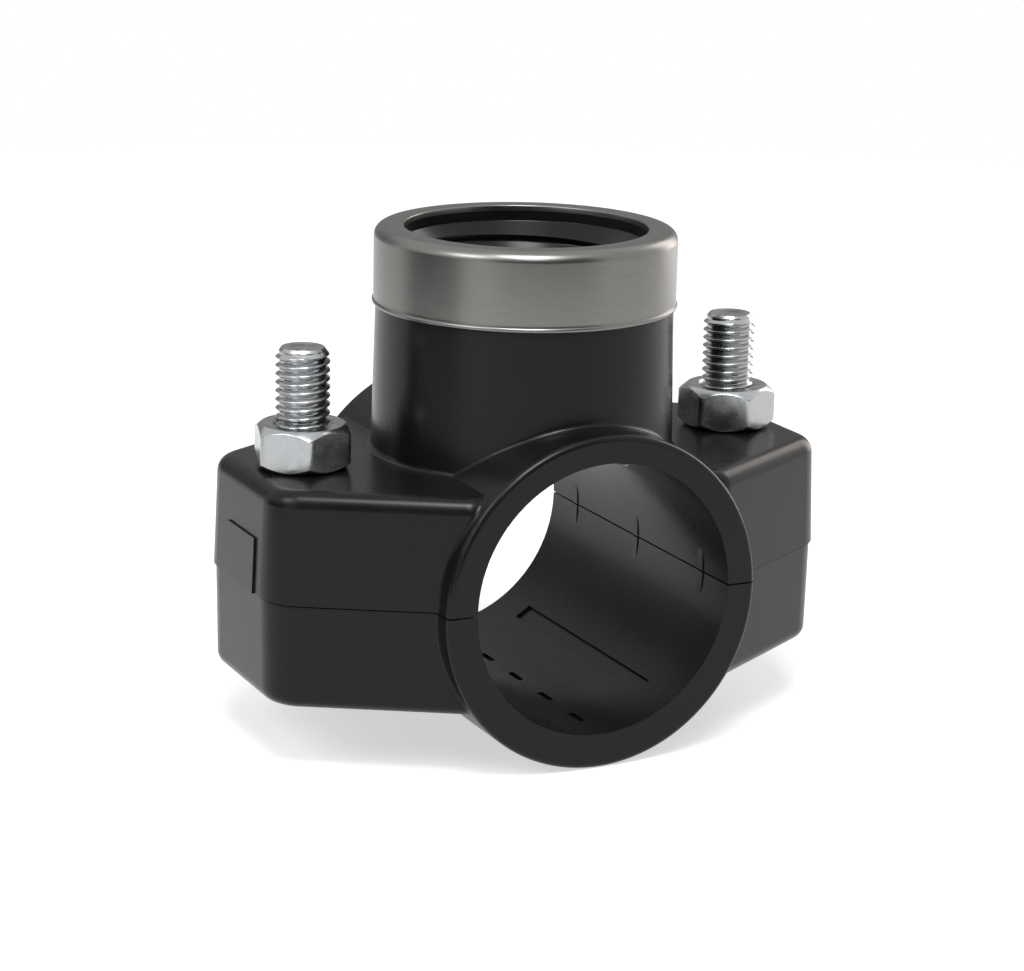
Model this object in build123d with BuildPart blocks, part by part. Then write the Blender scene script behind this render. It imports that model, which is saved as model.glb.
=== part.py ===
from build123d import *
import os
from math import hypot, radians, sqrt, tan

# Tapping saddle: two moulded halves bolted round a 40 mm pipe, with a threaded outlet on top.
# Frame: the origin is the centre of the pipe bore, +Y runs along the pipe, the bolts stand at
# +X and -X, and +Z is the axis of the outlet. The halves part on the plane z = 0.

# ---- driving dimensions (mm) -------------------------------------------------------------
pipe_diameter = 40.0            # outside diameter of the main pipe
pipe_clearance = 0.16           # radial, bore wall to pipe
saddle_length = 56.0            # along the pipe
collar_wall = 4.59              # bore wall to the outside of the collar
collar_drop = 0.6               # the outside of the collar is centred this far below the bore
collar_edge_radius = 0.9
root_radius = 0.8               # fillets between ears, collar and barrel

bolt_diameter = 8.0             # M8
bolt_length = 45.0              # under the head
hex_across_flats = 13.0         # head and nut
head_height = 5.3
nut_height = 6.5
thread_allowance = 0.05         # crest of the bolt inside the nominal diameter, radial
hex_chamfer_angle = 30.0
hex_face_inset = 0.75           # round face inside the flats
nut_mouth_chamfer = 0.4
point_chamfer = 0.8
bolt_reach = 10.45              # bolt axis outside the collar
bolt_hole_clearance = 0.5       # radial
head_seat_depth = 11.0          # parting plane to the seat of the bolt head
head_pocket_clearance = 0.2     # each flat to the pocket wall
head_turn = 90.0                # degrees, a corner of each head points along the pipe
nut_turn_left = 15.7            # degrees, how each nut came to rest when tightened
nut_turn_right = 28.0

ear_overhang = 10.0             # bolt axis to the end face
ear_end_width = 24.9
ear_root_offset = 4.15          # inside the collar, where the slanted flanks end
ear_root_setback = 1.0          # flank end behind the collar's end face
upper_ear_height = 16.4
lower_ear_height = 15.45
ear_corner_radius = 6.8         # in plan, at the ends
ear_root_radius = 4.0           # in plan, where the flanks turn along the collar
upper_edge_radius = 2.4
lower_edge_radius = 2.0
upper_draft_angle = 2.3
lower_draft_angle = 0.7
lower_ear_inset = 0.3           # the lower ears are this much smaller all round
core_wall = 3.0                 # wall left round the cored pockets
core_roof = 4.0                 # top of the pocket to the top of the ear
core_reach = 3.0                # the pockets end this far beyond the bolt axis
boss_wall = 3.0                 # round the bolt hole and the head pocket
core_corner_radius = 1.0

barrel_height = 48.45           # parting plane to the mouth of the moulding
barrel_base_radius = 22.6
barrel_neck_radius = 22.0       # just under the ring
mouth_radius = 17.97
mouth_depth = 1.35
outlet_minor_radius = 15.15     # crest of the G1 female thread
outlet_thread_length = 18.0
waterway_radius = 11.5

ring_height = 11.5
ring_thickness = 1.0
ring_radius = 22.55             # outside, at the rolled lower edge
ring_waist = 0.12               # the wall draws in by this much at half height
ring_top_radius = 1.6
ring_roll = 1.0                 # height of the rolled lower edge

seal_inner_radius = 12.7
seal_width = 3.6
seal_thickness = 2.6
seal_proud = 0.12               # stands this much inside the bore wall
seal_land = 0.05                # groove wall to the seal, each side

rib_width = 1.3                 # locating ribs across the joint, inside the bore
rib_proud = 0.14                # at the parting plane, fading out along the rib
rib_end_margin = 7.9            # last rib from the end of the saddle
rib_height = 3.4                # each side of the parting plane

slot_count = 5                  # drain slots along the bottom of the bore
slot_length = 4.0
slot_width = 1.0
slot_depth = 0.5
slot_end_margin = 8.0           # last slot's middle from the end of the saddle
groove_angle = 57.0             # relief grooves, below the horizontal
groove_width = 2.8
groove_depth = 0.45
groove_end_margin = 8.0

panel_width = 10.5              # plain raised panel on the left end of the upper half
panel_offset = -1.05            # its middle, towards +Y
panel_height = 8.3
panel_thickness = 0.3

tolerance = 0.01

# ---- derived sizes -----------------------------------------------------------------------
bore_radius = pipe_diameter / 2 + pipe_clearance
collar_radius = bore_radius + collar_wall
bolt_x = collar_radius + bolt_reach
ear_end_x = bolt_x + ear_overhang
ear_root_x = collar_radius - ear_root_offset
ear_root_width = saddle_length - 2 * ear_root_setback
shank_radius = bolt_diameter / 2 - thread_allowance
bolt_hole_radius = bolt_diameter / 2 + bolt_hole_clearance
bolt_tip_z = bolt_length - head_seat_depth
hex_corner_radius = hex_across_flats / sqrt(3)
hex_face_radius = hex_across_flats / 2 - hex_face_inset
hex_chamfer_drop = (hex_corner_radius - hex_face_radius) * tan(radians(hex_chamfer_angle))
nut_bore_radius = bolt_diameter / 2
pocket_corner_radius = hex_corner_radius + head_pocket_clearance * 2 / sqrt(3)
upper_boss_radius = bolt_hole_radius + boss_wall
lower_boss_radius = pocket_corner_radius + boss_wall / 2

rib_places = (rib_end_margin - saddle_length / 2, 0, saddle_length / 2 - rib_end_margin)

ring_top_z = barrel_height + ring_thickness
ring_bottom_z = ring_top_z - ring_height
neck_radius = ring_radius - ring_waist - ring_thickness
neck_chamfer = ring_top_radius - ring_thickness
thread_lead_in = mouth_radius - outlet_minor_radius
thread_top_z = barrel_height - mouth_depth - thread_lead_in
thread_bottom_z = thread_top_z - outlet_thread_length
seal_face_radius = bore_radius - seal_proud
seal_back_radius = seal_face_radius + seal_thickness
seal_outer_radius = seal_inner_radius + seal_width

os.makedirs("parts", exist_ok=True)


def draw_ear_plan(inset):
    """Plan of both ears: a long hexagon, its slanted flanks running into the collar."""
    end_y = ear_end_width / 2
    root_y = ear_root_width / 2
    Polygon(
        (ear_end_x, -end_y),
        (ear_end_x, end_y),
        (ear_root_x, root_y),
        (-ear_root_x, root_y),
        (-ear_end_x, end_y),
        (-ear_end_x, -end_y),
        (-ear_root_x, -root_y),
        (ear_root_x, -root_y),
    )
    if inset:
        offset(amount=-inset, kind=Kind.INTERSECTION, mode=Mode.REPLACE)


def draw_core_plan(boss_radius):
    """Pockets cored from the parting face, between the collar, the flanks and the bolt bosses."""
    draw_ear_plan(core_wall)
    Rectangle(2 * (bolt_x + core_reach), saddle_length, mode=Mode.INTERSECT)
    Rectangle(2 * (collar_radius + core_wall / 2), saddle_length, mode=Mode.SUBTRACT)
    Rectangle(2 * ear_end_x, 2 * boss_radius / sqrt(2), mode=Mode.SUBTRACT)
    with Locations((-bolt_x, 0), (bolt_x, 0)):
        Circle(boss_radius, mode=Mode.SUBTRACT)
    offset(amount=-core_corner_radius, kind=Kind.INTERSECTION, mode=Mode.REPLACE)
    offset(amount=core_corner_radius, kind=Kind.ARC, mode=Mode.REPLACE)


def draw_half_disc(radius, drop, side):
    """Disc across the pipe, centred below the bore, cut off at the parting plane: side +1 is above."""
    with Locations((0, -drop)):
        Circle(radius)
    with Locations((0, -side * 2 * radius)):
        Rectangle(4 * radius, 4 * radius, mode=Mode.SUBTRACT)


def draw_rib_section(side):
    """Locating ribs seen along the pipe: thickest at the parting plane, fading into the bore."""
    rib_face = bore_radius - rib_proud
    rib_end = sqrt(bore_radius**2 - rib_height**2)
    rib_back = bore_radius + collar_wall / 2
    for across in (-1, 1):
        Polygon(
            (across * rib_face, 0),
            (across * rib_end, side * rib_height),
            (across * rib_back, side * rib_height),
            (across * rib_back, 0),
        )


def lies_on_collar(edge):
    """Whether an edge is where the ears or the barrel run into the collar."""
    middle = edge @ 0.5
    on_surface = abs(hypot(middle.X, middle.Z + collar_drop) - collar_radius) < tolerance
    return on_surface and middle.Z > tolerance and abs(middle.Y) < ear_root_width / 2


def draw_seal_plan(land):
    """Ring of the seal seen along the outlet axis, wider by the land on each side."""
    Circle(seal_outer_radius + land)
    Circle(seal_inner_radius - land, mode=Mode.SUBTRACT)


# ---- seal: a flat ring bent to the pipe, and the groove that holds it ----------------------
with BuildPart() as seal_groove:
    with BuildSketch():
        draw_seal_plan(seal_land)
    extrude(amount=collar_radius)
    with BuildSketch(Plane.XZ):
        draw_half_disc(seal_back_radius, 0, 1)
    extrude(amount=saddle_length / 2, both=True, mode=Mode.INTERSECT)

with BuildPart() as seal_ring:
    with BuildSketch():
        draw_seal_plan(0)
    extrude(amount=collar_radius)
    with BuildSketch(Plane.XZ):
        draw_half_disc(seal_back_radius, 0, 1)
        Circle(seal_face_radius, mode=Mode.SUBTRACT)
    extrude(amount=saddle_length / 2, both=True, mode=Mode.INTERSECT)
seal_ring.part.label = "seal_ring"
export_step(seal_ring.part, "parts/seal_ring.step")


# ---- upper half: ears, half collar, outlet barrel ----------------------------------------
with BuildPart() as upper_half:
    # Ears, drafted upwards from the parting plane.
    with BuildSketch() as upper_ears:
        draw_ear_plan(0)
        fillet(upper_ears.vertices().group_by(lambda corner: abs(corner.X))[-1], ear_corner_radius)
        fillet(upper_ears.vertices().group_by(lambda corner: abs(corner.X))[0], ear_root_radius)
    extrude(amount=upper_ear_height, taper=upper_draft_angle)
    fillet(upper_half.edges().group_by(Axis.Z)[-1], upper_edge_radius)

    # Half collar round the pipe, its end rims rounded.
    with BuildSketch(Plane.XZ):
        draw_half_disc(collar_radius, collar_drop, 1)
    extrude(amount=saddle_length / 2, both=True)
    rims = upper_half.edges().filter_by(GeomType.CIRCLE).group_by(Axis.Y)
    fillet(rims[0] + rims[-1], collar_edge_radius)

    # Outlet barrel with its reduced neck for the ring, turned about the outlet axis.
    with BuildSketch(Plane.XZ) as barrel_section:
        with BuildLine():
            Polyline(
                (0, collar_radius / 2),
                (barrel_base_radius, collar_radius / 2),
                (barrel_neck_radius, ring_bottom_z),
                (neck_radius, ring_bottom_z),
                (neck_radius, barrel_height),
                (0, barrel_height),
                close=True,
            )
        make_face()
        chamfer(barrel_section.vertices().sort_by_distance((neck_radius, barrel_height))[0], neck_chamfer)
    revolve(axis=Axis.Z)
    foot = upper_half.edges(Select.NEW).filter_by(lies_on_collar, reverse=True)
    fillet(foot + upper_half.edges().filter_by(lies_on_collar), root_radius)

    # Pipe bore.
    with BuildSketch(Plane.XZ):
        Circle(bore_radius)
    extrude(amount=saddle_length, both=True, mode=Mode.SUBTRACT)

    # Outlet: mouth, lead-in chamfer, thread wall and waterway.
    with BuildSketch(Plane.XZ):
        with BuildLine():
            Polyline(
                (0, 0),
                (waterway_radius, 0),
                (waterway_radius, thread_bottom_z),
                (outlet_minor_radius, thread_bottom_z),
                (outlet_minor_radius, thread_top_z),
                (mouth_radius, thread_top_z + thread_lead_in),
                (mouth_radius, ring_top_z),
                (0, ring_top_z),
                close=True,
            )
        make_face()
    revolve(axis=Axis.Z, mode=Mode.SUBTRACT)

    add(seal_groove.part, mode=Mode.SUBTRACT)

    # Pockets cored from the parting face, and the bolt holes.
    with BuildSketch():
        draw_core_plan(upper_boss_radius)
    extrude(amount=upper_ear_height - core_roof, mode=Mode.SUBTRACT)
    with Locations((-bolt_x, 0), (bolt_x, 0)):
        Cylinder(bolt_hole_radius, 2 * upper_ear_height, mode=Mode.SUBTRACT)

    # Locating ribs across the joint, and the raised panel on the left end.
    for rib_y in rib_places:
        with BuildSketch(Plane.XZ.offset(rib_y)):
            draw_rib_section(1)
        extrude(amount=rib_width / 2, both=True)
    end_face_inwards = (1, 0, -tan(radians(upper_draft_angle)))
    panel_plane = Plane((-ear_end_x - panel_thickness, 0, 0), x_dir=(0, 1, 0), z_dir=end_face_inwards)
    with BuildSketch(panel_plane):
        with Locations((panel_offset, panel_height / 2)):
            Rectangle(panel_width, panel_height)
    extrude(amount=core_wall / 2, dir=(1, 0, 0))
upper_half.part.label = "upper_half"
export_step(upper_half.part, "parts/upper_half.step")


# ---- lower half: ears, half collar, head pockets -----------------------------------------
with BuildPart() as lower_half:
    # Ears, drafted downwards from the parting plane.
    with BuildSketch() as lower_ears:
        draw_ear_plan(lower_ear_inset)
        fillet(lower_ears.vertices().group_by(lambda corner: abs(corner.X))[-1], ear_corner_radius)
        fillet(lower_ears.vertices().group_by(lambda corner: abs(corner.X))[0], ear_root_radius)
    extrude(amount=-lower_ear_height, taper=lower_draft_angle)
    fillet(lower_half.edges().group_by(Axis.Z)[0], lower_edge_radius)

    # Half collar, its end rims rounded, and the pipe bore.
    with BuildSketch(Plane.XZ):
        draw_half_disc(collar_radius, collar_drop, -1)
    extrude(amount=saddle_length / 2, both=True)
    fillet(lower_half.edges(Select.NEW), root_radius)
    rims = lower_half.edges().filter_by(GeomType.CIRCLE).group_by(Axis.Y)
    fillet(rims[0] + rims[-1], collar_edge_radius)
    with BuildSketch(Plane.XZ):
        Circle(bore_radius)
    extrude(amount=saddle_length, both=True, mode=Mode.SUBTRACT)

    # Pockets cored from the parting face.
    with BuildSketch():
        draw_core_plan(lower_boss_radius)
    extrude(amount=core_roof - lower_ear_height, mode=Mode.SUBTRACT)

    # Bolt holes, and the hexagonal pockets that keep the heads from turning.
    with Locations((-bolt_x, 0), (bolt_x, 0)):
        Cylinder(bolt_hole_radius, 2 * lower_ear_height, mode=Mode.SUBTRACT)
    with BuildSketch(Plane.XY.offset(-head_seat_depth)):
        with Locations((-bolt_x, 0), (bolt_x, 0)):
            RegularPolygon(pocket_corner_radius, 6, rotation=head_turn)
    extrude(amount=-lower_ear_height, mode=Mode.SUBTRACT)

    # Drain slots along the bottom and relief grooves beside them.
    with BuildSketch():
        with GridLocations(slot_width, (saddle_length - 2 * slot_end_margin) / (slot_count - 1), 1, slot_count):
            SlotOverall(slot_length, slot_width, rotation=90)
    extrude(amount=-bore_radius - slot_depth, mode=Mode.SUBTRACT)
    with BuildSketch(Plane.XZ):
        with PolarLocations(bore_radius, 2, -180 + groove_angle, 180 - 2 * groove_angle, endpoint=True):
            Rectangle(2 * groove_depth, groove_width)
    extrude(amount=saddle_length / 2 - groove_end_margin, both=True, mode=Mode.SUBTRACT)

    # Locating ribs across the joint.
    for rib_y in rib_places:
        with BuildSketch(Plane.XZ.offset(rib_y)):
            draw_rib_section(-1)
        extrude(amount=rib_width / 2, both=True)
lower_half.part.label = "lower_half"
export_step(lower_half.part, "parts/lower_half.step")


# ---- reinforcing ring: pressed sheet, lip turned in over the mouth, lower edge rolled ------
with BuildPart() as reinforcing_ring:
    with BuildSketch(Plane.XZ) as ring_section:
        with BuildLine():
            wall_top = (ring_radius, ring_top_z - ring_top_radius)
            wall_middle = (ring_radius - ring_waist, (ring_top_z + ring_bottom_z) / 2)
            wall_bottom = (ring_radius - ring_waist, ring_bottom_z + ring_roll)
            roll_edge = (ring_radius, ring_bottom_z + ring_roll / 2)
            roll_end = (ring_radius - ring_waist, ring_bottom_z)
            Polyline(
                roll_end,
                (neck_radius, ring_bottom_z),
                (neck_radius, barrel_height),
                (mouth_radius, barrel_height),
                (mouth_radius, ring_top_z),
                (ring_radius - ring_top_radius, ring_top_z),
            )
            RadiusArc((ring_radius - ring_top_radius, ring_top_z), wall_top, ring_top_radius)
            Polyline(wall_top, wall_middle, wall_bottom)
            ThreePointArc(wall_bottom, roll_edge, roll_end)
        make_face()
        chamfer(ring_section.vertices().sort_by_distance((neck_radius, barrel_height))[0], neck_chamfer)
    revolve(axis=Axis.Z)
reinforcing_ring.part.label = "reinforcing_ring"
export_step(reinforcing_ring.part, "parts/reinforcing_ring.step")


def draw_hex_section(bottom, top, chamfered_ends):
    """Half section of the turned bar that a hexagon is cut from, chamfered at one end or both."""
    upper_radius = hex_corner_radius if chamfered_ends == 1 else hex_face_radius
    Polygon(
        (0, bottom),
        (hex_face_radius, bottom),
        (hex_corner_radius, bottom + hex_chamfer_drop),
        (hex_corner_radius, top - hex_chamfer_drop),
        (upper_radius, top),
        (0, top),
    )


# ---- bolts: chamfered hexagon head in its pocket, point up ---------------------------------
for side, name in ((-1, "bolt_left"), (1, "bolt_right")):
    bolt_axis = Axis((side * bolt_x, 0, 0), (0, 0, 1))
    bolt_section = Plane((side * bolt_x, 0, 0), x_dir=(1, 0, 0), z_dir=(0, -1, 0))
    with BuildPart() as bolt:
        with BuildSketch(Plane((side * bolt_x, 0, -head_seat_depth))):
            RegularPolygon(hex_corner_radius, 6, rotation=head_turn)
        extrude(amount=-head_height)
        with BuildSketch(bolt_section):
            draw_hex_section(-head_seat_depth - head_height, -head_seat_depth, 1)
        revolve(axis=bolt_axis, mode=Mode.INTERSECT)
        with BuildSketch(bolt_section):
            with BuildLine():
                Polyline(
                    (0, -head_seat_depth),
                    (shank_radius, -head_seat_depth),
                    (shank_radius, bolt_tip_z - point_chamfer),
                    (shank_radius - point_chamfer, bolt_tip_z),
                    (0, bolt_tip_z),
                    close=True,
                )
            make_face()
        revolve(axis=bolt_axis)
    bolt.part.label = name
    export_step(bolt.part, f"parts/{name}.step")


# ---- nuts: hexagons chamfered on both faces, seated on the ear tops ------------------------
for side, name, turn in ((-1, "nut_left", nut_turn_left), (1, "nut_right", nut_turn_right)):
    nut_axis = Axis((side * bolt_x, 0, 0), (0, 0, 1))
    nut_section = Plane((side * bolt_x, 0, 0), x_dir=(1, 0, 0), z_dir=(0, -1, 0))
    with BuildPart() as nut:
        with BuildSketch(Plane((side * bolt_x, 0, upper_ear_height))):
            RegularPolygon(hex_corner_radius, 6, rotation=turn)
        extrude(amount=nut_height)
        with BuildSketch(nut_section):
            draw_hex_section(upper_ear_height, upper_ear_height + nut_height, 2)
        revolve(axis=nut_axis, mode=Mode.INTERSECT)
        with Locations((side * bolt_x, 0, upper_ear_height)):
            Cylinder(nut_bore_radius, 2 * nut_height, mode=Mode.SUBTRACT)
        rims = nut.edges().filter_by(GeomType.CIRCLE)
        chamfer(rims.filter_by(lambda rim: abs(rim.radius - nut_bore_radius) < tolerance), nut_mouth_chamfer)
    nut.part.label = name
    export_step(nut.part, f"parts/{name}.step")
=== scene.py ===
import math

import bmesh
import bpy
from mathutils import Matrix, Vector


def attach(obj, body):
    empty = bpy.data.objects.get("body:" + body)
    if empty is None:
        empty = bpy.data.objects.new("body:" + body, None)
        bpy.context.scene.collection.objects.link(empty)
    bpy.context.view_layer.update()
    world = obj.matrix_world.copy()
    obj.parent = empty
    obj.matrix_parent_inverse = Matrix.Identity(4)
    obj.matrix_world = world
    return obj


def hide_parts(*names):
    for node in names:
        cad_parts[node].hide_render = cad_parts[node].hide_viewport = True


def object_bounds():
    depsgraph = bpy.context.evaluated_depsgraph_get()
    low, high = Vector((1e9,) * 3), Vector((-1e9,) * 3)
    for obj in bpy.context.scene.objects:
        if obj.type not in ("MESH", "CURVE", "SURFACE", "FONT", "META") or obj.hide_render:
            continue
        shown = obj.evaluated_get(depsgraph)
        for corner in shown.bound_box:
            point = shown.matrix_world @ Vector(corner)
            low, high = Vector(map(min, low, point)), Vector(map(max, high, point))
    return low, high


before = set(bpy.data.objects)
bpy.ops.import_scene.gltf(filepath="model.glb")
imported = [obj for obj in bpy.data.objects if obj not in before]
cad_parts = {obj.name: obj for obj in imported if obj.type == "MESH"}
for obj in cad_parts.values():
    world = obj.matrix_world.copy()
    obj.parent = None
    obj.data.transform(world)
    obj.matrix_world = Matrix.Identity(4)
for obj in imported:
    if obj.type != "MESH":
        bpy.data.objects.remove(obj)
cad_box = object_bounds()

# Tapping saddle for a 40 mm water pipe. Lengths below are in millimetres and become metres in
# the meshes. The pipe runs along Y, the outlet stands up along Z and the bolts are at +X and -X.
MM = 0.001


# ---- upper half ----------------------------------------------------------------------------
# The outlet half of the saddle, one injection moulding in black polypropylene that carries the
# seal and the reinforcing ring. The G1 female thread inside the outlet is moulded with it, on a
# core that unscrews. Its lower edges stand a hair off the parting plane.
parting_gap = 0.24
plane_tolerance = 0.002
wall_tolerance = 0.02
triangle_weld_reach = 0.0005
turn_weld_reach = 0.004
smooth_angle = 32
outlet_minor_radius = 15.15
outlet_major_radius = 16.62
outlet_mouth_radius = 17.97
outlet_pitch = 2.309
outlet_floor_z = 26.28
outlet_mouth_z = 47.1
outlet_thread_fade = 2.0
outlet_thread_turns = 11
outlet_steps = 96
outlet_trim = 0.1
outlet_thread = [
    (outlet_minor_radius + 0.05, 0.0),
    (outlet_minor_radius, 0.19),
    (outlet_minor_radius + 0.05, 0.385),
    (outlet_major_radius - 0.05, 1.13),
    (outlet_major_radius, 1.347),
    (outlet_major_radius - 0.05, 1.564),
    (outlet_minor_radius + 0.05, outlet_pitch),
]


def linear(hex_colour):
    """An sRGB colour, written #rrggbb, as the linear colour that a shader socket takes."""
    channels = [int(hex_colour[place:place + 2], 16) / 255 for place in (1, 3, 5)]
    return (*[c / 12.92 if c < 0.04045 else ((c + 0.055) / 1.055) ** 2.4 for c in channels], 1)


def add_node(tree, kind, values=None, links=None, **settings):
    """Adds a shader node with its settings, its constant values and its incoming links."""
    node = tree.nodes.new("ShaderNode" + kind)
    for name, value in settings.items():
        setattr(node, name, value)
    for socket, value in (values or {}).items():
        node.inputs[socket].default_value = value
    for socket, source in (links or {}).items():
        tree.links.new(source, node.inputs[socket])
    return node


def start_material(name):
    """An empty node material and its tree."""
    material = bpy.data.materials.new(name)
    material.use_nodes = True
    material.node_tree.nodes.clear()
    return material, material.node_tree


def weld_node(name):
    """The mesh of a CAD node with its loose triangles welded into one closed skin. Each face
    remembers the number of its triangle, counted from one."""
    bm = bmesh.new()
    bm.from_mesh(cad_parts[name].data)
    origin = bm.faces.layers.int.new("origin")
    for face in bm.faces:
        face[origin] = face.index + 1
    bmesh.ops.remove_doubles(bm, verts=bm.verts, dist=triangle_weld_reach * MM)
    return bm


def keep_normals(piece, name):
    """Gives the welded faces the normals of the CAD surfaces back. New faces have none to keep."""
    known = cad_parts[name].data
    mesh = piece.data
    normals = []
    for face in mesh.polygons:
        triangle = mesh.attributes["origin"].data[face.index].value
        for vertex in face.vertices:
            normal = Vector()
            if triangle:
                place = mesh.vertices[vertex].co
                corners = known.polygons[triangle - 1].loop_indices
                spots = [known.vertices[known.loops[corner].vertex_index].co for corner in corners]
                nearest = min(range(3), key=lambda n: (spots[n] - place).length)
                normal = known.corner_normals[corners[nearest]].vector.copy()
            normals.append(normal)
    mesh.normals_split_custom_set(normals)
    mesh.attributes.remove(mesh.attributes["origin"])


def cut_helix(bm, centre, profile, pitch, first_z, turns, steps):
    """Winds a thread profile, given as (radius, height) pairs over one pitch, up a right-hand
    helix, and welds each turn to the next."""
    points = [bm.verts.new(((centre.x + r) * MM, 0, (first_z + z) * MM)) for r, z in profile]
    strand = [bm.edges.new(pair) for pair in zip(points, points[1:])]
    bmesh.ops.spin(
        bm,
        geom=points + strand,
        cent=centre * MM,
        axis=(0, 0, 1),
        dvec=(0, 0, pitch * MM / steps),
        angle=2 * math.pi,
        steps=steps,
    )
    first_turn = bm.verts[:] + bm.edges[:] + bm.faces[:]
    for turn in range(1, turns):
        copy = bmesh.ops.duplicate(bm, geom=first_turn)["geom"]
        verts = [item for item in copy if isinstance(item, bmesh.types.BMVert)]
        bmesh.ops.translate(bm, verts=verts, vec=(0, 0, turn * pitch * MM))
    bmesh.ops.remove_doubles(bm, verts=bm.verts, dist=turn_weld_reach * MM)


def trim_ends(bm, low, high):
    """Cuts off whatever lies below one height and above another."""
    for height, outward in ((low, -1), (high, 1)):
        bmesh.ops.bisect_plane(
            bm,
            geom=bm.verts[:] + bm.edges[:] + bm.faces[:],
            plane_co=(0, 0, height * MM),
            plane_no=(0, 0, outward),
            clear_outer=True,
        )


def set_radius(vert, centre, wanted):
    """Moves a vertex to the wanted distance from an upright axis."""
    out = vert.co.xy - centre.xy * MM
    vert.co.xy = centre.xy * MM + out * (wanted * MM / out.length)


def join_mesh(bm, other):
    """Adds one bmesh to another and frees it."""
    spare = bpy.data.meshes.new("spare")
    other.to_mesh(spare)
    other.free()
    bm.from_mesh(spare)
    bpy.data.meshes.remove(spare)


def close_ring(bm, height, reach):
    """Bridges the open loops that lie within reach of a height."""
    edges = [
        edge
        for edge in bm.edges
        if edge.is_boundary and all(abs(vert.co.z - height * MM) < reach * MM for vert in edge.verts)
    ]
    bmesh.ops.bridge_loops(bm, edges=edges)


def finish_piece(bm, name, body, material, replaced, flats=False):
    """Turns a bmesh into a shown piece that rides on its body and stands for a CAD node. Flats
    keep their own shading where their rounded edges run into them."""
    bmesh.ops.recalc_face_normals(bm, faces=bm.faces)
    mesh = bpy.data.meshes.new(name)
    bm.to_mesh(mesh)
    bm.free()
    mesh.materials.append(material)
    mesh.shade_smooth()
    mesh.set_sharp_from_angle(angle=math.radians(smooth_angle))
    piece = bpy.data.objects.new(name, mesh)
    bpy.context.scene.collection.objects.link(piece)
    if flats:
        piece.modifiers.new("flats", "WEIGHTED_NORMAL").keep_sharp = True
    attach(piece, body)
    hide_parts(replaced)
    return piece


# Polypropylene, moulded: black right through, with the soft sheen of a spark-eroded mould. The
# sheen is a little uneven where the melt cooled, and the grain breaks up the highlights.
polypropylene, tree = start_material("polypropylene_moulded_black")
place = add_node(tree, "TexCoord").outputs["Object"]
grain = add_node(tree, "TexNoise", {"Scale": 1 / (0.3 * MM), "Detail": 3.0}, {"Vector": place})
flow = add_node(tree, "TexNoise", {"Scale": 1 / (9 * MM), "Detail": 2.0}, {"Vector": place})
tone = add_node(
    tree, "Mix", {6: linear("#0e0e0f"), 7: linear("#141414")}, {0: flow.outputs[0]}, data_type="RGBA"
)
gloss = add_node(tree, "MapRange", {"To Min": 0.23, "To Max": 0.32}, {0: flow.outputs[0]})
relief = add_node(
    tree, "Bump", {"Strength": 0.08, "Distance": 0.02 * MM}, {"Height": grain.outputs[0]}
)
shader = add_node(
    tree,
    "BsdfPrincipled",
    {"IOR": 1.49, "Specular IOR Level": 0.2},
    {"Base Color": tone.outputs[2], "Roughness": gloss.outputs[0], "Normal": relief.outputs[0]},
)
add_node(tree, "OutputMaterial", links={"Surface": shader.outputs[0]})

bm = weld_node("upper_half")
for vert in bm.verts:
    if abs(vert.co.z) < plane_tolerance * MM:
        vert.co.z = parting_gap / 2 * MM
wall = []
for face in bm.faces:
    middle = face.calc_center_median() / MM
    radii = [vert.co.xy.length / MM for vert in face.verts]
    beyond_minor = min(radii) > outlet_minor_radius - wall_tolerance
    within_mouth = max(radii) < outlet_mouth_radius + wall_tolerance
    between_ends = outlet_floor_z + wall_tolerance < middle.z < outlet_mouth_z - wall_tolerance
    if beyond_minor and within_mouth and between_ends:
        wall.append(face)
bmesh.ops.delete(bm, geom=wall, context="FACES")
thread = bmesh.new()
outlet_centre = Vector((0, 0, 0))
below = outlet_floor_z - outlet_pitch
cut_helix(
    thread, outlet_centre, outlet_thread, outlet_pitch, below, outlet_thread_turns, outlet_steps
)
for vert in thread.verts:
    height = vert.co.z / MM
    radius = vert.co.xy.length / MM
    depth = radius - outlet_minor_radius
    fade = min(max((height - outlet_floor_z) / outlet_thread_fade, 0), 1)
    lead_in = outlet_mouth_radius - (outlet_mouth_z - height)
    set_radius(vert, outlet_centre, max(outlet_minor_radius + depth * fade, lead_in))
trim_ends(thread, outlet_floor_z + outlet_trim, outlet_mouth_z - outlet_trim)
join_mesh(bm, thread)
close_ring(bm, outlet_floor_z, 1.5 * outlet_trim)
close_ring(bm, outlet_mouth_z, 1.5 * outlet_trim)
moulding = finish_piece(
    bm, "upper_half_moulding", "upper", polypropylene, "upper_half"
)
keep_normals(moulding, "upper_half")


# ---- lower half ----------------------------------------------------------------------------
# The other half of the clamp, moulded in the same polypropylene, with hexagonal pockets for the
# bolt heads, drain slots along its bottom and relief grooves beside them.
bm = weld_node("lower_half")
for vert in bm.verts:
    if abs(vert.co.z) < plane_tolerance * MM:
        vert.co.z = -parting_gap / 2 * MM
moulding = finish_piece(
    bm, "lower_half_moulding", "lower", polypropylene, "lower_half"
)
keep_normals(moulding, "lower_half")


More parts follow.
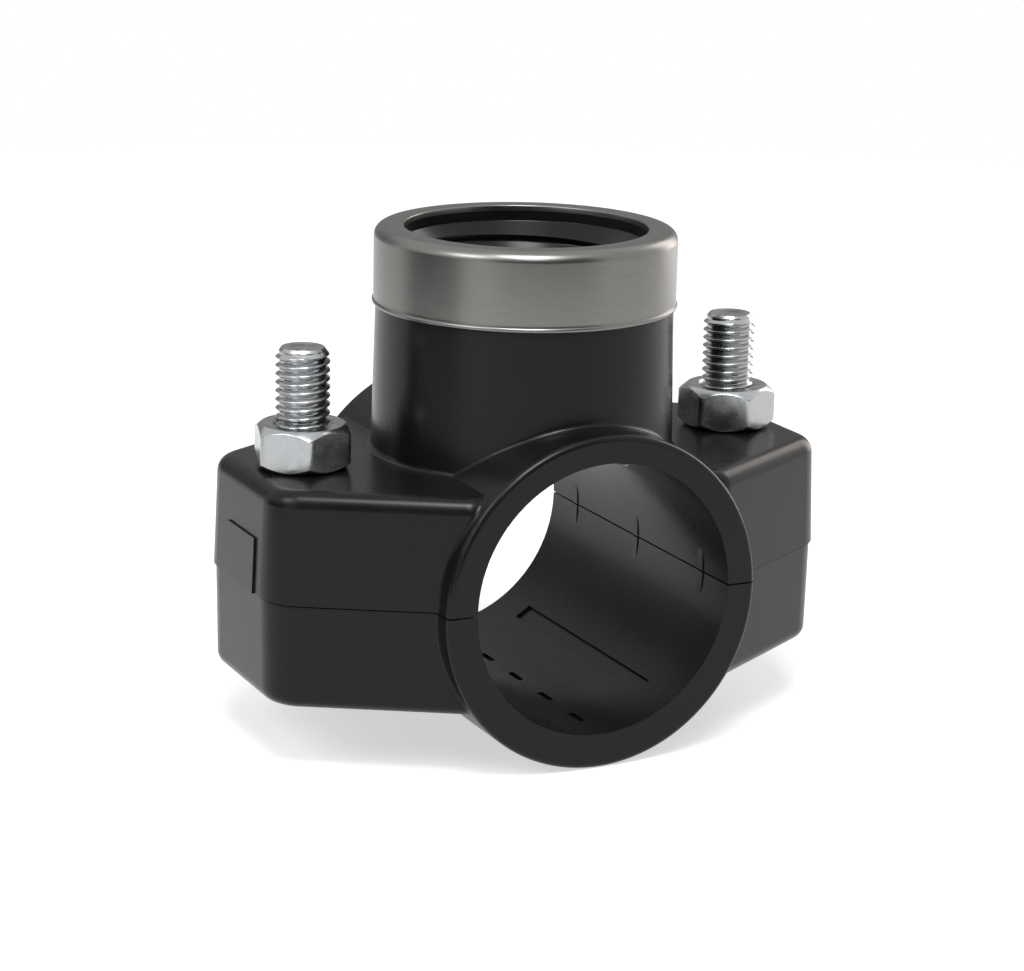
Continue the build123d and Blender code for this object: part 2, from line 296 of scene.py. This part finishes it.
# ---- seal ----------------------------------------------------------------------------------
# Nitrile rubber ring, moulded flat and bent to the pipe when it is pressed into the groove round
# the waterway. Two soft lips bear on the pipe, with a shallow trough between them.
seal_inner_radius = 12.7
seal_outer_radius = 16.3
seal_face_radius = 20.04
seal_thickness = 2.6
seal_steps = 120
seal_section = [
    (seal_inner_radius, 0.45),
    (12.78, 0.2),
    (12.95, 0.06),
    (13.2, 0.0),
    (13.5, 0.07),
    (13.8, 0.25),
    (14.5, 0.36),
    (15.2, 0.25),
    (15.5, 0.07),
    (15.8, 0.0),
    (16.05, 0.06),
    (16.22, 0.2),
    (seal_outer_radius, 0.45),
    (seal_outer_radius, 2.35),
    (16.22, 2.52),
    (16.05, seal_thickness),
    (12.95, seal_thickness),
    (12.78, 2.52),
    (seal_inner_radius, 2.35),
]


def turn_section(bm, centre, section, steps, closed=False, half_step=False):
    """Turns a chain of (radius, height) pairs about an upright axis into one welded skin. The
    first column of points can stand half a step off the X direction."""
    start = math.pi / steps if half_step else 0
    across = Vector((math.cos(start), math.sin(start), 0))
    points = [bm.verts.new((centre + across * r + Vector((0, 0, z))) * MM) for r, z in section]
    chain = [bm.edges.new(pair) for pair in zip(points, points[1:])]
    if closed:
        chain.append(bm.edges.new((points[-1], points[0])))
    bmesh.ops.spin(
        bm,
        geom=points + chain,
        cent=centre * MM,
        axis=(0, 0, 1),
        angle=2 * math.pi,
        steps=steps,
        use_merge=True,
    )
    bmesh.ops.remove_doubles(bm, verts=bm.verts, dist=turn_weld_reach * MM)


# Nitrile rubber, moulded: near black and matt, with a faint grey bloom in patches.
rubber, tree = start_material("nitrile_rubber_moulded")
place = add_node(tree, "TexCoord").outputs["Object"]
bloom = add_node(tree, "TexNoise", {"Scale": 1 / (2 * MM), "Detail": 4.0}, {"Vector": place})
tone = add_node(
    tree, "Mix", {6: linear("#0f0f10"), 7: linear("#1c1c1c")}, {0: bloom.outputs[0]}, data_type="RGBA"
)
shader = add_node(
    tree, "BsdfPrincipled", {"IOR": 1.52, "Roughness": 0.62}, {"Base Color": tone.outputs[2]}
)
add_node(tree, "OutputMaterial", links={"Surface": shader.outputs[0]})

bm = bmesh.new()
turn_section(bm, outlet_centre, seal_section, seal_steps, closed=True)
for vert in bm.verts:
    from_pipe = seal_face_radius * MM + vert.co.z
    vert.co.z = math.sqrt(from_pipe ** 2 - vert.co.x ** 2)
finish_piece(bm, "seal_lipped", "upper", rubber, "seal_ring")


# ---- reinforcing ring ----------------------------------------------------------------------
# Stainless steel cup with its bottom cut out, pressed from 1 mm sheet and pushed over the barrel
# so that the moulded thread can't burst it. The lower edge flares a little and is rolled, and
# the lip turns in over the mouth.
ring_top_z = 49.45
ring_bottom_z = 37.95
ring_sheet = 1.0
ring_wall_radius = 22.32
ring_edge_radius = 22.55
ring_corner_radius = 1.6
ring_roll = 0.42
ring_neck_radius = 21.43
ring_lip_round = 0.2
ring_steps = 180


def arc(across, height, radius, first, last, count):
    """Points of an arc in a half section, its angles in degrees from straight outwards."""
    angles = [math.radians(first + (last - first) * n / count) for n in range(count + 1)]
    return [(across + radius * math.cos(a), height + radius * math.sin(a)) for a in angles]


# Stainless steel, pressed: satin grey, with fine lines drawn round it by the press that stretch
# the highlights upwards.
stainless, tree = start_material("stainless_steel_pressed")
place = add_node(tree, "TexCoord").outputs["Object"]
drawn = add_node(tree, "Mapping", {"Scale": (1, 1, 14)}, {"Vector": place}, vector_type="POINT")
lines = add_node(
    tree, "TexNoise", {"Scale": 1 / (4 * MM), "Detail": 5.0}, {"Vector": drawn.outputs[0]}
)
gloss = add_node(tree, "MapRange", {"To Min": 0.26, "To Max": 0.36}, {0: lines.outputs[0]})
tone = add_node(
    tree, "Mix", {6: linear("#70706e"), 7: linear("#7e7e7b")}, {0: lines.outputs[0]}, data_type="RGBA"
)
shader = add_node(
    tree,
    "BsdfPrincipled",
    {"Metallic": 1.0},
    {"Base Color": tone.outputs[2], "Roughness": gloss.outputs[0]},
)
add_node(tree, "OutputMaterial", links={"Surface": shader.outputs[0]})

corner_across = ring_wall_radius - ring_corner_radius
corner_height = ring_top_z - ring_corner_radius
roll_across = ring_edge_radius - ring_roll
roll_height = ring_bottom_z + ring_roll
ring_section = (
    [(ring_neck_radius, ring_bottom_z), (ring_neck_radius, corner_height)]
    + arc(corner_across, corner_height, ring_corner_radius - ring_sheet, 45, 90, 3)
    + [(outlet_mouth_radius + 0.1, ring_top_z - ring_sheet)]
    + [(outlet_mouth_radius, ring_top_z - ring_sheet + 0.1)]
    + arc(
        outlet_mouth_radius + ring_lip_round, ring_top_z - ring_lip_round, ring_lip_round, 180, 90, 4
    )
    + arc(corner_across, corner_height, ring_corner_radius, 90, 0, 10)
    + [(ring_wall_radius, roll_height + 1.0), (ring_wall_radius, roll_height + 0.7)]
    + [(ring_wall_radius + 0.005, roll_height + 0.5)]
    + arc(roll_across, roll_height, ring_roll, 58, -90, 12)
)
bm = bmesh.new()
turn_section(bm, outlet_centre, ring_section, ring_steps, closed=True)
finish_piece(bm, "ring_pressed", "upper", stainless, "reinforcing_ring")


# ---- bolts ---------------------------------------------------------------------------------
# M8 hexagon bolts, cold headed and thread rolled in steel, with bright zinc plate. The heads sit
# in the pockets of the lower half and the points stand up through the ears. The end of each
# point is left a little hollow by the rolling.
bolt_x = 35.2
bolt_tip_z = 34.0
bolt_seat_z = -11.0
head_height = 5.3
across_flats = 13.0
face_radius = 6.05
corner_radius = across_flats / math.sqrt(3)
chamfer_slope = math.tan(math.radians(40))
corner_drop = (corner_radius - face_radius) * chamfer_slope
bolt_crest_radius = 3.95
bolt_root_radius = 3.34
bolt_pitch = 1.25
bolt_turns = 38
point_radius = 3.1
point_slope = 0.75
point_length = 1.0
point_core_radius = 3.42
point_hollow_rim = 0.7
point_hollow_depth = 0.25
bolt_steps = 60
hexagon_steps = 144
hexagon_edge = 0.1
milled_angle = 25
head_turn = 90.0
helix_start_z = bolt_seat_z - 1.4
bolt_thread = [
    (bolt_root_radius + 0.03, 0.0),
    (bolt_root_radius, 0.1),
    (bolt_root_radius + 0.03, 0.2),
    (3.62, 0.37),
    (3.87, 0.53),
    (3.93, 0.59),
    (bolt_crest_radius, 0.66),
    (3.93, 0.73),
    (3.87, 0.79),
    (3.62, 0.95),
    (bolt_root_radius + 0.03, 1.12),
    (bolt_root_radius + 0.03, bolt_pitch),
]


def cut_hexagon(bm, centre, turn, low, high, coned_top):
    """Mills six flats on a turned blank that is coned at its ends, and turns it to its place. The
    cones are followed down to the flats, which gives the arcs at the ends of the flats."""
    for vert in bm.verts:
        out = vert.co / MM - centre
        radius = math.hypot(out.x, out.y)
        if radius > face_radius + 0.01:
            from_flat = math.atan2(out.y, out.x) % math.radians(60) - math.radians(30)
            cut = min(radius, across_flats / 2 / math.cos(from_flat))
            drop = (cut - face_radius) * chamfer_slope
            set_radius(vert, centre, cut)
            if out.z < (low + high) / 2:
                vert.co.z = (low + drop) * MM
            elif coned_top:
                vert.co.z = (high - drop) * MM
    sharp = [edge for edge in bm.edges if edge.calc_face_angle(0) > math.radians(milled_angle)]
    bmesh.ops.bevel(
        bm,
        geom=sharp,
        offset=hexagon_edge * MM,
        affect="EDGES",
        segments=2,
        profile=0.5,
        material=-1,
    )
    bmesh.ops.rotate(
        bm, verts=bm.verts, cent=centre * MM, matrix=Matrix.Rotation(math.radians(turn), 3, "Z")
    )


# Zinc, electroplated bright: a cold grey mirror gone slightly milky, with duller patches where
# the parts rubbed in the barrel.
zinc, tree = start_material("zinc_plated_steel_bright")
place = add_node(tree, "TexCoord").outputs["Object"]
patches = add_node(tree, "TexNoise", {"Scale": 1 / (2.5 * MM), "Detail": 5.0}, {"Vector": place})
dents = add_node(tree, "TexNoise", {"Scale": 1 / (1.6 * MM), "Detail": 1.0}, {"Vector": place})
gloss = add_node(
    tree,
    "MapRange",
    {"From Min": 0.35, "From Max": 0.65, "To Min": 0.18, "To Max": 0.34},
    {0: patches.outputs[0]},
)
tone = add_node(
    tree,
    "Mix",
    {6: linear("#9c9ea0"), 7: linear("#b4b6b7")},
    {0: patches.outputs[0]},
    data_type="RGBA",
)
relief = add_node(
    tree, "Bump", {"Strength": 0.25, "Distance": 0.03 * MM}, {"Height": dents.outputs[0]}
)
shader = add_node(
    tree,
    "BsdfPrincipled",
    {"Metallic": 1.0},
    {"Base Color": tone.outputs[2], "Roughness": gloss.outputs[0], "Normal": relief.outputs[0]},
)
add_node(tree, "OutputMaterial", links={"Surface": shader.outputs[0]})

head_low = bolt_seat_z - head_height
head_section = [
    (0, bolt_seat_z),
    (corner_radius, bolt_seat_z),
    (corner_radius, head_low + corner_drop),
    (face_radius, head_low),
    (face_radius - 0.6, head_low),
    (0, head_low),
]
for side, name in ((-1, "bolt_left"), (1, "bolt_right")):
    centre = Vector((side * bolt_x, 0, 0))
    bm = bmesh.new()
    cut_helix(bm, centre, bolt_thread, bolt_pitch, helix_start_z, bolt_turns, bolt_steps)
    trim_ends(bm, bolt_seat_z + 0.4, bolt_tip_z)
    for vert in bm.verts:
        below_tip = bolt_tip_z - vert.co.z / MM
        if below_tip < point_length:
            radius = max((vert.co.xy - centre.xy * MM).length / MM, point_core_radius)
            set_radius(vert, centre, min(radius, point_radius + below_tip * point_slope))
    rims = [edge for edge in bm.edges if edge.is_boundary]
    ends = bmesh.ops.holes_fill(bm, edges=rims)["faces"]
    point = [face for face in ends if face.calc_center_median().z > 0]
    bmesh.ops.recalc_face_normals(bm, faces=bm.faces)
    rim = point_hollow_rim * MM
    bmesh.ops.inset_region(bm, faces=point, thickness=rim)
    bmesh.ops.inset_region(bm, faces=point, thickness=rim, depth=-point_hollow_depth * MM)
    head = bmesh.new()
    turn_section(head, centre, head_section, hexagon_steps, half_step=True)
    cut_hexagon(head, centre, head_turn, head_low, bolt_seat_z, False)
    join_mesh(bm, head)
    finish_piece(bm, name + "_threaded", "lower", zinc, name, flats=True)


# ---- nuts ----------------------------------------------------------------------------------
# M8 hexagon nuts, cold formed and tapped, in the same zinc plate, coned on both faces. They sit
# on the ears as they came to rest when tightened. Their threads keep step with the bolts'.
nut_seat_z = 16.4
nut_height = 6.5
nut_mouth_radius = 4.4
nut_turn = {"nut_left": 15.7, "nut_right": 28.0}
thread_clearance = 0.12
nut_thread_turns = 9
nut_trim = 0.03
nut_thread = [(radius + thread_clearance, height) for radius, height in bolt_thread]
nut_top_z = nut_seat_z + nut_height
nut_section = [
    (nut_mouth_radius, nut_top_z),
    (face_radius, nut_top_z),
    (corner_radius, nut_top_z - corner_drop),
    (corner_radius, nut_seat_z + corner_drop),
    (face_radius, nut_seat_z),
    (nut_mouth_radius, nut_seat_z),
]
turns_below = math.floor((nut_seat_z - helix_start_z) / bolt_pitch) - 1
for side, name in ((-1, "nut_left"), (1, "nut_right")):
    centre = Vector((side * bolt_x, 0, 0))
    bm = bmesh.new()
    first_z = helix_start_z + turns_below * bolt_pitch
    cut_helix(bm, centre, nut_thread, bolt_pitch, first_z, nut_thread_turns, bolt_steps)
    trim_ends(bm, nut_seat_z + nut_trim, nut_top_z - nut_trim)
    for vert in bm.verts:
        height = vert.co.z / MM
        countersink = nut_mouth_radius - min(height - nut_seat_z, nut_top_z - height)
        if (vert.co.xy - centre.xy * MM).length < countersink * MM:
            set_radius(vert, centre, countersink)
    blank = bmesh.new()
    turn_section(blank, centre, nut_section, hexagon_steps, half_step=True)
    cut_hexagon(blank, centre, nut_turn[name], nut_seat_z, nut_top_z, True)
    join_mesh(bm, blank)
    close_ring(bm, nut_seat_z, nut_trim + 0.02)
    close_ring(bm, nut_top_z, nut_trim + 0.02)
    body = "left_nut" if side < 0 else "right_nut"
    finish_piece(bm, name + "_threaded", body, zinc, name, flats=True)


# ---- studio --------------------------------------------------------------------------------
# A pale floor in a white surround, with soft boxes above and beside the saddle and cards that
# darken its reflections. The saddle stands on its lower half, so the floor stays under that half.
floor_radius = 600
floor_clearance = 0.05


def seen_directly(tree):
    """Says, in a shader, whether the camera sees the surface straight, mirrored or through glass."""
    rays = add_node(tree, "LightPath")
    mirrored = {0: rays.outputs["Is Camera Ray"], 1: rays.outputs["Is Glossy Ray"]}
    seen = add_node(tree, "Math", links=mirrored, operation="MAXIMUM")
    through = {0: seen.outputs[0], 1: rays.outputs["Is Transmission Ray"]}
    return add_node(tree, "Math", links=through, operation="MAXIMUM").outputs[0]


floor_bm = bmesh.new()
bmesh.ops.create_circle(floor_bm, cap_ends=True, segments=64, radius=floor_radius * MM)
drop = (0, 0, cad_box[0].z - floor_clearance * MM)
bmesh.ops.translate(floor_bm, verts=floor_bm.verts, vec=drop)
floor_mesh = bpy.data.meshes.new("floor")
floor_bm.to_mesh(floor_mesh)
floor_bm.free()
floor = bpy.data.objects.new("floor", floor_mesh)
bpy.context.scene.collection.objects.link(floor)
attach(floor, "lower")

# White paper: a plain matt surface that shows white and keeps a soft shadow.
paper, tree = start_material("floor_paper_white")
diffuse = add_node(tree, "BsdfDiffuse", {"Color": linear("#c8c8c8")})
lift = add_node(tree, "MapRange", {"To Max": 0.6}, {0: seen_directly(tree)})
glow = add_node(tree, "Emission", links={"Strength": lift.outputs[0]})
both = add_node(tree, "AddShader", links={0: diffuse.outputs[0], 1: glow.outputs[0]})
add_node(tree, "OutputMaterial", links={"Surface": both.outputs[0]})
floor_mesh.materials.append(paper)

# Surround: white to the eye and in reflections, dimmer as a light.
world = bpy.data.worlds.new("studio")
bpy.context.scene.world = world
world.use_nodes = True
tree = world.node_tree
tree.nodes.clear()
level = add_node(tree, "MapRange", {"To Min": 0.4, "To Max": 1.0}, {0: seen_directly(tree)})
sky = add_node(tree, "Background", {"Color": (1, 1, 1, 1)}, {"Strength": level.outputs[0]})
add_node(tree, "OutputWorld", links={"Surface": sky.outputs[0]})

target = Vector((-1.37, 0, 10.13)) * MM
camera_azimuth = -26.5
camera_elevation = 15.007
camera_distance = 434.2
camera_roll = 1.309


def look_back(azimuth, elevation):
    """Unit vector from the saddle. Azimuth 0 is in front, along the pipe, and 90 is at the right."""
    a, e = math.radians(azimuth), math.radians(elevation)
    return Vector((math.sin(a) * math.cos(e), -math.cos(a) * math.cos(e), math.sin(e)))


def hang_soft_box(name, azimuth, elevation, distance, size, watts, colour="#ffffff"):
    """An area lamp that looks at the saddle."""
    lamp = bpy.data.lights.new(name, "AREA")
    lamp.shape = "RECTANGLE"
    lamp.size, lamp.size_y = size[0] * MM, size[1] * MM
    lamp.energy = watts
    lamp.color = linear(colour)[:3]
    holder = bpy.data.objects.new(name, lamp)
    bpy.context.scene.collection.objects.link(holder)
    back = look_back(azimuth, elevation)
    holder.location = target + back * distance * MM
    holder.rotation_mode = "QUATERNION"
    holder.rotation_quaternion = back.to_track_quat("Z", "Y")


hang_soft_box("soft_box_top", -24, 62, 800, (300, 250), 5.0)
hang_soft_box("soft_box_right", 112, 12, 600, (250, 500), 1.3, "#fff4ee")
hang_soft_box("soft_box_left", -75, 40, 800, (300, 300), 2.0)
hang_soft_box("soft_box_front", -20, 42, 800, (200, 300), 1.0)


def stand_card(name, azimuth, distance, width, height, material):
    """A card that stands on the floor, faces the saddle and keeps out of the picture."""
    back = look_back(azimuth, 0)
    card_bm = bmesh.new()
    bmesh.ops.create_grid(card_bm, x_segments=1, y_segments=1, size=0.5)
    bmesh.ops.scale(card_bm, verts=card_bm.verts, vec=(width * MM, height * MM, 1))
    turn = back.to_track_quat("Z", "Y").to_matrix()
    bmesh.ops.rotate(card_bm, verts=card_bm.verts, matrix=turn)
    middle = back * distance * MM + Vector((0, 0, cad_box[0].z + height / 2 * MM))
    bmesh.ops.translate(card_bm, verts=card_bm.verts, vec=middle)
    card_mesh = bpy.data.meshes.new(name)
    card_bm.to_mesh(card_mesh)
    card_bm.free()
    card_mesh.materials.append(material)
    card = bpy.data.objects.new(name, card_mesh)
    bpy.context.scene.collection.objects.link(card)
    card.visible_camera = False


# Black card: matt, and dark enough to take the light out of a reflection.
card_black, tree = start_material("card_black_matt")
diffuse = add_node(tree, "BsdfDiffuse", {"Color": linear("#303030")})
add_node(tree, "OutputMaterial", links={"Surface": diffuse.outputs[0]})
stand_card("card_front", -10, 750, 1200, 800, card_black)
stand_card("card_left", -98, 320, 300, 100, card_black)

# Grey card: matt, to take the glare off faces that are seen along their length.
card_grey, tree = start_material("card_grey_matt")
diffuse = add_node(tree, "BsdfDiffuse", {"Color": linear("#c0c0c0")})
add_node(tree, "OutputMaterial", links={"Surface": diffuse.outputs[0]})
stand_card("card_back", 165, 900, 2200, 600, card_grey)

# The camera looks down on the saddle from the left of its front, with a long lens.
back = look_back(camera_azimuth, camera_elevation)
lens = bpy.data.cameras.new("camera")
lens.lens = 101.9
lens.sensor_width = 36
lens.clip_start = 10 * MM
lens.clip_end = 20000 * MM
camera = bpy.data.objects.new("camera", lens)
bpy.context.scene.collection.objects.link(camera)
camera.rotation_mode = "QUATERNION"
camera.location = target + back * camera_distance * MM
roll = Matrix.Rotation(math.radians(camera_roll), 3, "Z").to_quaternion()
camera.rotation_quaternion = (-back).to_track_quat("-Z", "Y") @ roll
bpy.context.scene.camera = camera
bpy.context.scene.view_settings.view_transform = "Standard"
